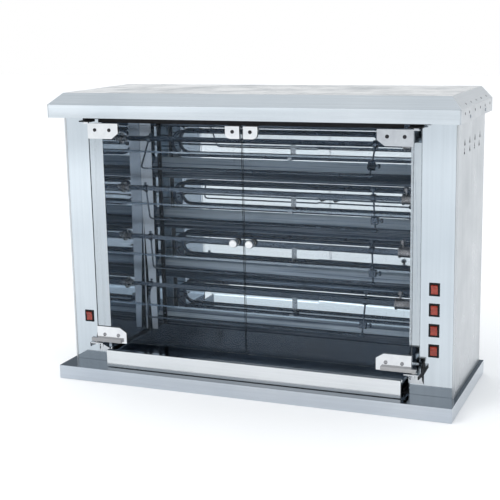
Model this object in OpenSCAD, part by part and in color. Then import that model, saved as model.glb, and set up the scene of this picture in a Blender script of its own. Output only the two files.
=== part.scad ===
// Electric skewer grill: sheet-steel cabinet with a cooking chamber, two glass
// doors, four driven two-rod skewers, four tiers of tubular heaters and a drip tray.
// Row frame: origin at the middle of the footprint on the floor, front faces -Y, +Z up.
// Modules work from the body's front plane (y = 0) and the top of the plinth (z = 0).

/* [Body] */
// Width of the cabinet between its outer sides
body_w = 1030; // [1020:1:1060]
// Depth of the cabinet from the pillar fronts to the back cover
body_d = 313; // [311:1:318]
// Height from the plinth's top to the underside of the roof fascia
body_h = 654; // [652:1:660]
// Thickness of the cabinet's sheet steel
sheet = 1.2; // [1.0:0.1:1.4]

/* [Plinth] */
// Height of the plinth
base_h = 36; // [30:1:45]
// How far the plinth stands out in front of the cabinet
base_front = 73; // [70:1:80]
// How far the plinth stands out on each side
base_side = 10; // [6:1:14]
// How far the plinth stands out at the back
base_back = 11; // [6:1:15]

/* [Roof cap] */
// How far the cap stands out in front of the cabinet
cap_front = 54; // [54:1:60]
// How far the cap stands out on each side
cap_side = 15; // [12:1:20]
// How far the cap stands out at the back
cap_back = 16; // [16:1:20]
// Height of the vertical fascia
fascia_h = 33; // [30:1:36]
// Height of the sloping band above the fascia
slope_h = 28; // [26:1:30]
// Inset of the flat top from the fascia in front
slope_front = 34; // [28:1:38]
// Inset of the flat top from the fascia at the sides
slope_side = 28; // [24:1:32]

/* [Chamber] */
// Clear width between the inner side walls
open_w = 810; // [808:1:810]
// Depth of the polished back wall
wall_y = 300; // [298:1:302]
// Depth of the guard rails and corner strips
lip_y = 205; // [204:1:207]
// Width of each corner strip
strip_w = 34; // [30:1:36]
// How far the reflector ridges stand out from the back wall
ridge_d = 25; // [22:1:27]
// Height of the chamber's ceiling
ceil_z = 690; // [686:1:694]

/* [Heaters] */
// Number of heater tiers and skewers
tiers = 4; // [4]
// Height of the lowest heater tier's middle
heater_z = 124.5; // [122:0.5:127]
// Vertical pitch of the heater tiers
heater_pitch = 144.3; // [143:0.1:146]
// Outer diameter of the heater tube
tube_d = 9.6; // [8:0.2:10]
// Distance between the two legs of a hairpin
leg_gap = 65; // [60:1:66]
// Depth of the hairpins
row_y = 277; // [274:1:282]

/* [Skewers] */
// Height of the lowest skewer's axis
spit_z = 193.5; // [192:0.5:195]
// Vertical pitch of the skewers
spit_pitch = 131.5; // [131:0.5:132]
// Depth of the skewers' axes
spit_y = 104; // [102:1:108]
// Side of the square skewer bar
bar = 10; // [8:0.5:10]
// Distance from the bar to the outer rod
rod_r = 88; // [70:1:90]
// Diameter of the outer rod
rod_d = 4; // [3.5:0.5:5]

/* [Doors] */
// Thickness of the door glass
glass_t = 5; // [4:0.5:6]
// Height of the glass's lower edge
glass_z0 = 71; // [70:1:73]
// Height of the glass's upper edge
glass_z1 = 638; // [636:1:638]
// Gap between the two doors
door_gap = 3; // [3:0.5:6]
// Distance of the door glass's middle in front of the pillars
door_out = 40; // [39:0.5:41]
// Distance of each door's pivot from the cabinet's middle
pivot_x = 426; // [425:0.5:427]

/* [Drip tray] */
// Width of the tray's front
tray_w = 792; // [780:1:794]
// Height of the tray's front
tray_h = 44; // [36:1:45]
// Depth of the pan behind the front
tray_d = 318; // [300:1:320]

/* [Hidden] */
$fn = 48;
e = 0.01;
yf = -(base_front + body_d + cap_back)/2 + base_front; // pillar plane in the row frame
hw = body_w/2;                                     // half width of the body
lap = 5;                                           // front lap of the side panels
ow = open_w/2;                                     // half width of the chamber
phase = [36, -12, -6, 20];                         // rest angle of each skewer, from hanging towards the front
yoke_l = [-324, -339, -330, -335];                 // left yoke of each skewer
yoke_r = [291, 286, 283, 266];                     // right yoke of each skewer
sock_x = [362, 360, 352, 344];                     // left end of each drive socket
sw_x = 464;                                        // middle of the right switch column
clip_x = 7;                                       // middle of the heater clips
sw_z = [262.9, 212.9, 162.9, 112.9];               // heights of the heater switches
sw_lx = -468.5;                                    // motor switch on the left pillar
sw_lz = 121.5;
sprk_x = 440;                                      // plane of the sprockets
teeth = 14;
pitch = 12.7;                                      // chain pitch
pr = pitch/2/sin(180/teeth);                       // sprocket pitch radius
mot_z = spit_z - spit_pitch;                       // height of the motor shaft

function hz(i) = heater_z + (tiers - 1 - i)*heater_pitch;   // heater tier, 0 = top
function sz(i) = spit_z + (tiers - 1 - i)*spit_pitch;       // skewer axis, 0 = top

module at() { translate([0, yf, base_h]) children(); }
// box from its low corner to its high corner
module bx(a, b) { translate(a) cube([b[0] - a[0], b[1] - a[1], b[2] - a[2]]); }
// cylinder along X from x0 to x1
module cx(x0, x1, y, z, d, n = 48) { translate([x0, y, z]) rotate([0, 90, 0]) cylinder(h = x1 - x0, d = d, $fn = n); }
// cylinder along Y from y0 to y1
module cy(x, y0, y1, z, d, n = 48) { translate([x, y0, z]) rotate([-90, 0, 0]) cylinder(h = y1 - y0, d = d, $fn = n); }
module cz(x, y, z0, z1, d, n = 48) { translate([x, y, z0]) cylinder(h = z1 - z0, d = d, $fn = n); }
module mx(s) { mirror([s < 0 ? 1 : 0, 0, 0]) children(); }

// ---------------------------------------------------------------- cabinet
module base_plinth() color([0.80, 0.82, 0.84]) at() {
  t = 1.5; x = hw + base_side; y0 = -base_front; y1 = body_d + base_back;
  difference() {
    bx([-x, y0, -base_h], [x, y1, 0]);
    bx([-x + t, y0 + t, -base_h + t], [x - t, y1 - t, -t]);
    bx([-x + 16, y0 + 16, -base_h - 1], [x - 16, y1 - 16, -base_h + t + 1]);
    // loom holes into the two side compartments
    for (s = [-1, 1]) cz(s*484, 60, -t - 1, 1, 22);
  }
}

// one teardrop vent, pointing up, in a side panel
module tear(y, z) { translate([0, y, z]) rotate([90, 0, 90]) linear_extrude(6, center = true)
  polygon([[-6.2, -6], [-4, -7.5], [4, -7.5], [6.2, -6], [1.8, 7.5], [-1.8, 7.5]]); }
module side_panel(s) at() mx(s) {
  x = hw;
  difference() {
    union() {
      bx([x - sheet, sheet, 0], [x, body_d, body_h + 20]);
      bx([x - lap, 0, 0], [x, sheet, body_h + 1.5]);                                   // front lap beside the pillar
      bx([x - 14, body_d - 2*sheet - 0.2, 0], [x - sheet, body_d - sheet - 0.2, body_h]); // back flange
      bx([x - 14, 14.4, 0], [x - sheet, body_d - 2*sheet - 0.2, sheet]);                // foot flange
    }
    for (y = [67, 126, 188, 252]) translate([x, 0, 0]) tear(y, 602);
    for (y = [64, 127, 184, 243]) translate([x, 0, 0]) tear(y, 582);
    for (z = [40, 320, 600]) cy(x - 8, 290, body_d + 1, z, 3.4);
    for (y = [51, 237]) cx(x - 5, x + 5, y, body_h + 10, 4.2);
  }
}
module left_side_panel() color([0.78, 0.80, 0.82]) side_panel(-1);
module right_side_panel() color([0.78, 0.80, 0.82]) side_panel(1);

module cutout(x, z) { bx([x - 11, -1, z - 14.4], [x + 11, 3, z + 14.4]); }
module front_pillar(s) at() difference() {
  mx(s) union() {
    bx([ow, 0, 0], [hw - lap - 0.3, sheet, body_h + 1.5]);
    bx([ow + sheet + 0.2, sheet, 0], [ow + 2*sheet + 0.2, 14, body_h]);  // flange to the inner wall
    bx([hw - lap - 0.3 - sheet, sheet, 0], [hw - lap - 0.3, 14, body_h]);  // flange to the side panel
  }
  if (s > 0) for (z = sw_z) cutout(sw_x, z);
  else cutout(sw_lx, sw_lz);
}
module left_front_pillar() color([0.86, 0.88, 0.89]) front_pillar(-1);
module right_front_pillar() color([0.86, 0.88, 0.89]) front_pillar(1);

module wall_plate(s) mx(s) bx([ow, sheet, 0], [ow + sheet, wall_y, ceil_z]);
module left_inner_wall() color([0.62, 0.66, 0.70]) at() difference() {
  wall_plate(-1);
  for (i = [0:tiers - 1]) cx(-ow - 5, -ow + 5, spit_y, sz(i), 16.2);
}
module right_inner_wall() color([0.62, 0.66, 0.70]) at() difference() {
  wall_plate(1);
  for (i = [0:tiers - 1]) {
    cx(ow - 5, ow + 5, spit_y, sz(i), 20.2);
    for (k = [-1, 1]) cx(ow - 5, ow + 5, row_y, hz(i) + k*leg_gap/2, tube_d + 0.6);
  }
  for (y = [-48, 48], z = [-32, 32]) cx(ow - 5, ow + 5, spit_y + y, mot_z + z, 4.2);
}

module back_cover() color([0.76, 0.78, 0.80]) at() difference() {
  bx([-hw + sheet, body_d - sheet, 0], [hw - sheet, body_d, body_h + 20]);
  cy(470, body_d - 5, body_d + 5, 60, 16.2);
  for (s = [-1, 1], z = [40, 320, 600]) cy(s*(hw - 8), body_d - 5, body_d + 5, z, 3.4);
  for (s = [-1, 1], k = [0:11]) bx([s*461 - 32, body_d - 5, 430 + 12*k], [s*461 + 32, body_d + 5, 434 + 12*k]);
}
module inner_back_wall() color([0.66, 0.70, 0.74]) at() {
  difference() {
    bx([-ow, wall_y, 0], [ow, wall_y + sheet, ceil_z]);
    bx([75.6, wall_y - 1, 0.6], [76.6, wall_y + 0.6, ceil_z - 2]); // butt seam of the two sheets
  }
  bx([-ow, wall_y + sheet, ceil_z - sheet], [ow, wall_y + 11, ceil_z]);
}
module chamber_ceiling() color([0.60, 0.63, 0.66]) at()
  bx([-ow, 2*sheet + 0.1, ceil_z], [ow, wall_y, ceil_z + sheet]);

// hipped cap: a front profile and a side profile, each extruded and intersected
module cap_solid(t, zlow) {
  x = hw + cap_side - t; y0 = -cap_front + t; y1 = body_d + cap_back - t;
  zf = body_h + fascia_h - t*0.42; zt = body_h + fascia_h + slope_h - t;
  intersection() {
    translate([0, y1, 0]) rotate([90, 0, 0]) linear_extrude(y1 - y0)
      polygon([[-x, zlow], [x, zlow], [x, zf], [x - slope_side, zt], [-x + slope_side, zt], [-x, zf]]);
    translate([-x, 0, 0]) rotate([90, 0, 90]) linear_extrude(2*x)
      polygon([[y0, zlow], [y1, zlow], [y1, zt], [y0 + slope_front, zt], [y0, zf]]);
  }
}
module roof_cap() color([0.83, 0.85, 0.86]) at() difference() {
  x = hw + cap_side;
  cap_solid(0, body_h);
  cap_solid(1.5, body_h + 1.5);
  // opening in the bottom inside a narrow folded flange
  bx([-x + 12, -cap_front + 12, body_h - 1], [x - 12, body_d + cap_back - 12, body_h + 2.5]);
  // seams of the folded corners, beside the ends of the fascia
  for (s = [-1, 1]) mx(s) bx([x - 2.6, -cap_front - 1, body_h - 1], [x - 1.4, -cap_front + 0.7, body_h + fascia_h - 0.5]);
  // vent holes and screw holes in the ends
  for (y = [-10, 38, 105, 168, 230, 295]) cx(-x - 1, x + 1, y, body_h + 21, 7);
  for (y = [51, 237]) cx(-x - 1, x + 1, y, body_h + 10, 4.2);
  for (s = [-1, 1], y = [30, 88, 151, 212, 278]) mx(s)
    translate([x - slope_side*0.25, y, body_h + fascia_h + slope_h*0.25]) rotate([0, 45, 0]) cylinder(h = 12, d = 6, center = true);
}
module roof_soffit() color([0.55, 0.57, 0.60]) at() {
  z = body_h + 1.5;
  difference() {
    bx([-hw + 1.4, -cap_front + 1.6, z], [hw - 1.4, sheet, z + sheet]);
    for (s = [-1, 1], x = [414, 434]) cz(s*x, -20, z - 5, z + 5, 4.2);
  }
  bx([-ow, sheet, z], [ow, 2*sheet, ceil_z + sheet]);
}

// ---------------------------------------------------------------- door hardware on the cabinet
module door_header_rail() color([0.10, 0.10, 0.11]) at() difference() {
  bx([-450, -33, 641.8], [450, -18, body_h + 1.5]);
  bx([-451, -31.5, 643.3], [451, -17, body_h + 2.5]);
  for (s = [-1, 1]) bx([s*424 - 28, -40, 641], [s*424 + 28, -10, 652]);
}
module door_magnets() color([0.16, 0.16, 0.17]) at()
  for (s = [-1, 1]) difference() {
    bx([s*22 - 14, -35, 632.5], [s*22 + 14, -20, 641.8]);
    bx([s*22 - 10, -36, 634.5], [s*22 + 10, -34, 639.8]);
  }
module pivot_bracket_top() {
  // hanging angle: foot under the soffit, shelf with the pivot hole
  difference() {
    union() {
      bx([408, -50, 644], [442, -28, 647]);
      bx([408, -30, 647], [442, -28, body_h + 1.5]);
      bx([408, -28, body_h - 1], [442, -12, body_h + 1.5]);
    }
    cz(pivot_x, -door_out, 640, 650, 8.1);
    for (x = [414, 434]) cz(x, -20, 650, 660, 4.2);
  }
}
module pivot_bracket_low() {
  difference() {
    union() {
      bx([404, -50, 62], [441, 0, 65]);
      bx([404, -1.8, 28], [441, 0, 62]);
      // gusset
      translate([408, 0, 0]) rotate([90, 0, 90]) linear_extrude(2) polygon([[-1.8, 62], [-44, 62], [-1.8, 36]]);
      // outer flange, standing up beside the pillar behind the clamp's sweep
      translate([438, 0, 0]) rotate([90, 0, 90]) linear_extrude(3)
        polygon([[0, 50], [0, 84], [-9, 84], [-19, 65], [-50, 65], [-50, 54], [-44, 54]]);
    }
    cz(pivot_x, -door_out, 55, 70, 8.1);
    for (x = [416, 434]) cy(x, -5, 5, 42, 4.2);
  }
  for (x = [416, 434]) cy(x, -3.6, -1.8, 42, 8);
}
module door_pivot_brackets() color([0.70, 0.72, 0.74]) at()
  for (s = [-1, 1]) mx(s) { pivot_bracket_top(); pivot_bracket_low(); }

// ---------------------------------------------------------------- inside the chamber
module corner_strips() color([0.72, 0.76, 0.80]) at() for (s = [-1, 1]) mx(s) {
  difference() {
    bx([ow - strip_w, lip_y, 37], [ow, lip_y + sheet, ceil_z]);
    bx([ow - 1.8, lip_y - 1, 37.6], [ow - 0.6, lip_y + 0.7, ceil_z - 1]); // shadow line beside the wall
  }
  bx([ow - sheet, lip_y + sheet, 37], [ow, lip_y + 17, ceil_z]);
}
// folded ridge on the back wall, centred between two tiers: an upper face looking up and a lower face looking down
module ridge(h) translate([-ow + 0.2, 0, h]) rotate([90, 0, 90]) linear_extrude(2*ow - 0.4)
  polygon([[wall_y, -43], [wall_y - ridge_d, -66.5], [wall_y, -102.3], [wall_y, -99.9], [wall_y - ridge_d + 1.9, -66.5], [wall_y, -45.3]]);
module reflector_baffles() color([0.42, 0.47, 0.53]) at() {
  ridge(hz(0) + heater_pitch);
  for (i = [0:tiers - 1]) {
    ridge(hz(i));
    // guard rail across the chamber in front of the corner strips
    bx([-ow + 0.2, lip_y - 5.6, hz(i) - 19.4], [ow - 0.2, lip_y - 0.1, hz(i) - 14.6]);
  }
}

module hairpin(y, c, xl) {
  r = leg_gap/2; xc = xl + tube_d/2 + r;
  for (k = [-1, 1]) cx(xc, ow + 24, y, c + k*r, tube_d);
  translate([xc, y, c]) rotate([90, 0, 0]) rotate([0, 0, 90])
    rotate_extrude(angle = 180, $fn = 64) translate([r, 0]) circle(d = tube_d);
}
module heater_tier(i) color([0.24, 0.25, 0.28]) at() hairpin(row_y, hz(i), -345);
module heater_tier_1() heater_tier(0);
module heater_tier_2() heater_tier(1);
module heater_tier_3() heater_tier(2);
module heater_tier_4() heater_tier(3);
module heater_terminals() color([0.88, 0.86, 0.80]) at()
  for (i = [0:tiers - 1], k = [-1, 1]) {
    y = row_y; z = hz(i) + k*leg_gap/2;
    difference() { // hexagon nut and collar on the wall
      union() { cx(ow + sheet, ow + 8, y, z, 20, 6); cx(ow + 8, ow + 10, y, z, 16); }
      cx(ow, ow + 12, y, z, tube_d + 0.1);
    }
    cx(ow + 24, ow + 34, y, z, 9);   // ceramic end
    cx(ow + 34, ow + 44, y, z, 4);   // stud
  }
module heater_post() color([0.13, 0.13, 0.15]) at() {
  // upright flat bar beside the left corner strip, with a hook and a stop pin at each tier
  difference() {
    bx([-382, 262, 37], [-370, 265, ceil_z]);
    for (i = [0:tiers - 1]) cy(-376, 260, 270, hz(i) - 56, 4.2);
  }
  for (i = [0:tiers - 1]) {
    cx(-371, -331, 263.5, hz(i) - 8, 2.6); knot(-331, 263.5, hz(i) - 8, 3.4); cy(-331, 263.5, 286, hz(i) - 8, 2.6);
    cx(-371, -346, 263.5, hz(i) + 22, 2.6);
  }
}
module heater_clips() color([0.60, 0.62, 0.64]) at() for (i = [0:tiers - 1]) {
  // strap on the back wall with a cradle under the lower leg
  x = clip_x; z = hz(i) - leg_gap/2 - tube_d/2;
  difference() {
    bx([x - 7, wall_y - 1.4, z - 2], [x + 7, wall_y, hz(i) + 15]);
    cy(x, wall_y - 4, wall_y + 4, hz(i) - 7, 4.2);
  }
  cy(x, wall_y - 3, wall_y - 1.4, hz(i) - 7, 7);
  bx([x - 6, row_y - 7, z - 1.8], [x + 6, wall_y - 1, z - 0.3]);
  bx([x - 6, row_y - 7, z - 1.8], [x + 6, row_y - 5.6, z + 7]);
}

// ---------------------------------------------------------------- skewers
module spit_bar(i) color([0.42, 0.42, 0.44]) at() {
  z = sz(i); x1 = sock_x[i] + 18;
  translate([0, spit_y, z]) rotate([-phase[i], 0, 0]) bx([-384, -bar/2, -bar/2], [x1, bar/2, bar/2]);
  cx(-ow - 4, -383, spit_y, z, 8);
}
module spit_bar_1() spit_bar(0);
module spit_bar_2() spit_bar(1);
module spit_bar_3() spit_bar(2);
module spit_bar_4() spit_bar(3);

module collar(x0, x1, d) difference() {
  cx(x0, x1, 0, 0, d);
  bx([x0 - 1, -bar/2 - 0.05, -bar/2 - 0.05], [x1 + 1, bar/2 + 0.05, bar/2 + 0.05]);
}
module spit_cage(i) color([0.48, 0.48, 0.50]) at()
  translate([0, spit_y, sz(i)]) rotate([-phase[i], 0, 0]) {
    a = yoke_l[i]; b = yoke_r[i]; m = bar/2 + 2.5;
    // fixed left yoke, outer rod and right yoke arm, one welded wire frame
    collar(a - 5, a + 5, 18);
    cz(a, 0, -rod_r, -m, 4.6);
    cx(a, b + 8, 0, -rod_r, rod_d);
    // sliding right yoke: collar with thumbscrew, arm, grip block, eye round the rod
    collar(b - 6, b + 6, 19);
    cz(b, 0, -rod_r + 2.8, -m, 4.6);
    bx([b - 9, -7, -69], [b + 9, 7, -51]);
    difference() { cx(b - 4, b + 4, 0, -rod_r, 9.5); cx(b - 5, b + 5, 0, -rod_r, rod_d + 0.1); }
    cz(b, 0, m, 22, 5);
    cz(b, 0, 18, 26, 14);
    // thumbscrew of the grip block
    cx(b + 9, b + 17, 0, -60, 5);
    cx(b + 15, b + 21, 0, -60, 11);
    cx(a - 4, a + 1, 0, -rod_r, 7);
  }
module spit_cage_1() spit_cage(0);
module spit_cage_2() spit_cage(1);
module spit_cage_3() spit_cage(2);
module spit_cage_4() spit_cage(3);

module spit_bushes() color([0.74, 0.60, 0.32]) at() for (i = [0:tiers - 1]) difference() {
  union() { cx(-ow - 7, -388, spit_y, sz(i), 16); cx(-ow, -ow + 3, spit_y, sz(i), 30); }
  cx(-ow - 8, -380, spit_y, sz(i), 8.1);
}
module drive_bearings() color([0.74, 0.60, 0.32]) at() for (i = [0:tiers - 1]) difference() {
  union() { cx(ow - 4, ow + 10, spit_y, sz(i), 20); cx(ow + sheet, ow + 5, spit_y, sz(i), 38); }
  cx(ow - 6, ow + 12, spit_y, sz(i), 12.1);
}
module sprocket_2d() difference() {
  circle(r = pr + 3.2, $fn = 64);
  for (k = [0:teeth - 1]) rotate(k*360/teeth) translate([pr, 0]) circle(r = 4.05, $fn = 24);
}
module sprocket() {
  translate([sprk_x - 3, 0, 0]) rotate([90, 0, 90]) linear_extrude(6) sprocket_2d();
  cx(sprk_x + 3, sprk_x + 15, 0, 0, 26);
}
module drive_shaft(i) color([0.52, 0.53, 0.55]) at()
  translate([0, spit_y, sz(i)]) rotate([-phase[i], 0, 0]) {
    x = sock_x[i]; h = bar/2 + 0.05;
    difference() { // socket with a square hole
      union() { cx(x, ow - 6, 0, 0, 26); cx(x, x + 3, 0, 0, 30); }
      bx([x - 1, -h, -h], [x + 19, h, h]);
    }
    cx(ow - 6, sprk_x + 17, 0, 0, 12);
    sprocket();
    // locking screw through the socket
    cz(x + 10, 0, 12, 24, 6);
    cz(x + 10, 0, 22, 30, 13);
  }
module drive_shaft_1() drive_shaft(0);
module drive_shaft_2() drive_shaft(1);
module drive_shaft_3() drive_shaft(2);
module drive_shaft_4() drive_shaft(3);

// ---------------------------------------------------------------- drive
module motor_sprocket() color([0.52, 0.53, 0.55]) at() translate([0, spit_y, mot_z]) {
  sprocket();
  cx(ow + 22, sprk_x + 22, 0, 0, 10);
}
module gear_motor() color([0.62, 0.63, 0.64]) at() translate([0, spit_y, mot_z]) {
  difference() {
    bx([458, -56, -42], [461, 56, 42]);
    cx(455, 463, 0, 0, 14.2);
    for (y = [-48, 48], z = [-32, 32]) cx(455, 463, y, z, 4.2);
  }
  for (y = [-48, 48], z = [-32, 32]) difference() { cx(ow + sheet, 458, y, z, 8); cx(ow, 459, y, z, 4.2); }
  difference() {
    translate([461, 0, 0]) rotate([90, 0, 90]) linear_extrude(20)
      polygon([[-34, -26], [-26, -34], [26, -34], [34, -26], [34, 26], [26, 34], [-26, 34], [-34, 26]]);
    cx(460, 466, 0, 0, 10.1);
  }
  cx(481, 504, 0, 0, 54);
  cx(504, 508, 0, 0, 30);
  bx([484, -34, -10], [500, 34, 10]);
}
module chain_band() difference() {
  union() {
    translate([0, mot_z]) circle(r = pr + 5.6, $fn = 96);
    translate([0, sz(0)]) circle(r = pr + 5.6, $fn = 96);
    translate([-pr - 5.6, mot_z]) square([2*pr + 11.2, sz(0) - mot_z]);
  }
  translate([0, mot_z]) circle(r = pr - 5.6, $fn = 96);
  translate([0, sz(0)]) circle(r = pr - 5.6, $fn = 96);
  translate([-pr + 5.6, mot_z]) square([2*pr - 11.2, sz(0) - mot_z]);
}
module drive_chain() color([0.24, 0.24, 0.25]) at()
  for (x = [sprk_x - 5.4, sprk_x + 3.8]) translate([x, spit_y, 0]) rotate([90, 0, 90]) linear_extrude(1.6) chain_band();

// ---------------------------------------------------------------- switches
module switch_housing(x, z) translate([x, 0, z]) {
  difference() {
    union() {
      bx([-12.75, -2.2, -15.75], [12.75, 0, 15.75]);
      bx([-10.8, 0, -14.2], [10.8, 20, 14.2]);
    }
    bx([-8.3, -3, -11.6], [8.3, 13, 11.6]);
    cx(-12, 12, 2, 0, 2.6);
  }
  for (px = [-5, 5], pz = [-8, 0, 8]) bx([px - 0.4, 20, pz - 3], [px + 0.4, 29, pz + 3]);
}
module switch_housings() color([0.06, 0.06, 0.07]) at() {
  for (z = sw_z) switch_housing(sw_x, z);
  switch_housing(sw_lx, sw_lz);
}
// shallow V rocker about a pin along X, resting with its upper end out
module rocker(x, z) color([0.80, 0.08, 0.06]) at() translate([x, 2, z]) {
  rotate([7, 0, 0]) translate([-8, 0, 0]) rotate([90, 0, 90]) linear_extrude(16)
    polygon([[-5.4, -10.4], [-4.2, -5.4], [-3.5, 0], [-4.2, 5.4], [-5.4, 10.4], [-4.2, 10.9], [0, 11.1], [3, 10], [5, 5], [5, -5], [3, -10], [0, -11.1], [-4.2, -10.9]]);
  cx(-10.6, 10.6, 0, 0, 2.5);
}
module motor_rocker() rocker(sw_lx, sw_lz);
module heater_rocker_1() rocker(sw_x, sw_z[0]);
module heater_rocker_2() rocker(sw_x, sw_z[1]);
module heater_rocker_3() rocker(sw_x, sw_z[2]);
module heater_rocker_4() rocker(sw_x, sw_z[3]);

// ---------------------------------------------------------------- electrical
module terminal_block() color([0.90, 0.89, 0.84]) at() {
  difference() {
    bx([430, 290, 96], [498, body_d - sheet, 126]);
    for (k = [0:4]) { cy(437 + 13.5*k, 280, 304, 104, 5); cy(437 + 13.5*k, 280, 304, 118, 5); }
    for (k = [0:3]) bx([443 + 13.5*k, 285, 90], [444.5 + 13.5*k, 296, 130]);
  }
  for (k = [0:4], z = [104, 118]) cy(437 + 13.5*k, 299, 304, z, 4.6);
}
module cable_gland() color([0.08, 0.08, 0.09]) at() difference() {
  union() {
    cy(470, 303, body_d - sheet, 60, 22, 6);
    cy(470, body_d - sheet, body_d, 60, 16);
    cy(470, body_d, body_d + 5, 60, 24, 6);
    cy(470, body_d + 5, body_d + 14, 60, 18);
  }
  cy(470, 300, body_d + 20, 60, 8);
}
module knot(x, y, z, d) translate([x, y, z]) sphere(d = d, $fn = 32);
module wiring_loom() color([0.12, 0.12, 0.13]) at() {
  // trunk behind the heater switches, then along the side to the terminal block
  cz(484, 60, -16.5, 268, 7);
  for (z = sw_z) {
    cy(464, 29.6, 36, z, 3); knot(464, 36, z, 4);
    cx(464, 484, 36, z, 3); knot(484, 36, z, 4);
    cy(484, 36, 60, z, 3);
  }
  cy(484, 60, 262, 106, 6);
  knot(484, 262, 106, 7.4);
  cx(470, 484, 262, 106, 6);
  // trunk to the heater terminals
  knot(470, 250, 106, 8.4);
  cz(470, 250, 106, hz(0) + 36, 7);
  for (i = [0:tiers - 1], k = [-1, 1]) {
    cy(452, 250, row_y - 2.2, hz(i) + k*leg_gap/2, 3.6);
    knot(452, 250, hz(i) + k*leg_gap/2, 4.6);
    cx(452, 470, 250, hz(i) + k*leg_gap/2, 3);
  }
  cy(470, 250, 289.6, 106, 7);
  // lead of the motor switch through the plinth
  cz(-484, 60, -16.5, 125, 5);
  cy(-484, 36, 60, sw_lz, 3); knot(-484, 36, sw_lz, 4);
  cx(-484, sw_lx, 36, sw_lz, 3); knot(sw_lx, 36, sw_lz, 4);
  cy(sw_lx, 29.6, 36, sw_lz, 3);
  knot(-484, 60, -16.5, 6.4);
  cx(-484, 484, 60, -16.5, 4.4);
  knot(484, 60, -16.5, 8.4);
  // motor lead
  cx(484, 492, 60, 62, 3); knot(492, 60, 62, 4);
  cy(492, 60, spit_y - 34.5, 62, 3);
}
module panel_screws() color([0.75, 0.76, 0.77]) at() {
  for (s = [-1, 1]) mx(s) {
    for (y = [51, 237]) { // cap screws, each through a spacer tube
      cx(hw + cap_side, hw + cap_side + 1.2, y, body_h + 10, 8);
      cx(hw - 4, hw + cap_side, y, body_h + 10, 4);
      difference() { cx(hw, hw + cap_side - 1.5, y, body_h + 10, 9); cx(hw - 1, hw + cap_side, y, body_h + 10, 4.2); }
    }
    for (z = [40, 320, 600]) { cy(hw - 8, body_d, body_d + 1.6, z, 7); cy(hw - 8, body_d - 6, body_d, z, 3.2); }
  }
}

// ---------------------------------------------------------------- drip tray
module tray_runners() color([0.66, 0.68, 0.70]) at() for (s = [-1, 1]) mx(s) {
  bx([374, 2, 0], [ow, 290, 1]);
  bx([391.5, 2, 1], [392.5, 290, 12]);
}
module tray_pan() color([0.64, 0.67, 0.70]) at() difference() {
  t = 1.2; x = 390; y0 = -door_out + 2.8; y1 = -door_out + tray_d;
  union() {
    bx([-x, y0, 1.4], [x, y1, 32]);
    bx([-x - 5, y0, 30.8], [x + 5, y1 + 4, 32]);
  }
  bx([-x + t, y0 + t, 1.4 + t], [x - t, y1 - t, 40]);
}
module tray_front() color([0.84, 0.86, 0.87]) at() {
  x = tray_w/2; t = 1.2; y = -door_out - 5; z0 = 1.4; z1 = 1.4 + tray_h;
  difference() {
    bx([-x, y, z0], [x, y + 7.8, z1]);
    bx([-x + t, y + t, z0 + t], [x - t, y + 9, z1 - t]);
  }
  bx([-x, y + 7.8, z1 - t], [x, y + 16, z1]);
  bx([-x, y + 16 - t, z1 - 9], [x, y + 16, z1 - t]);
}

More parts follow.
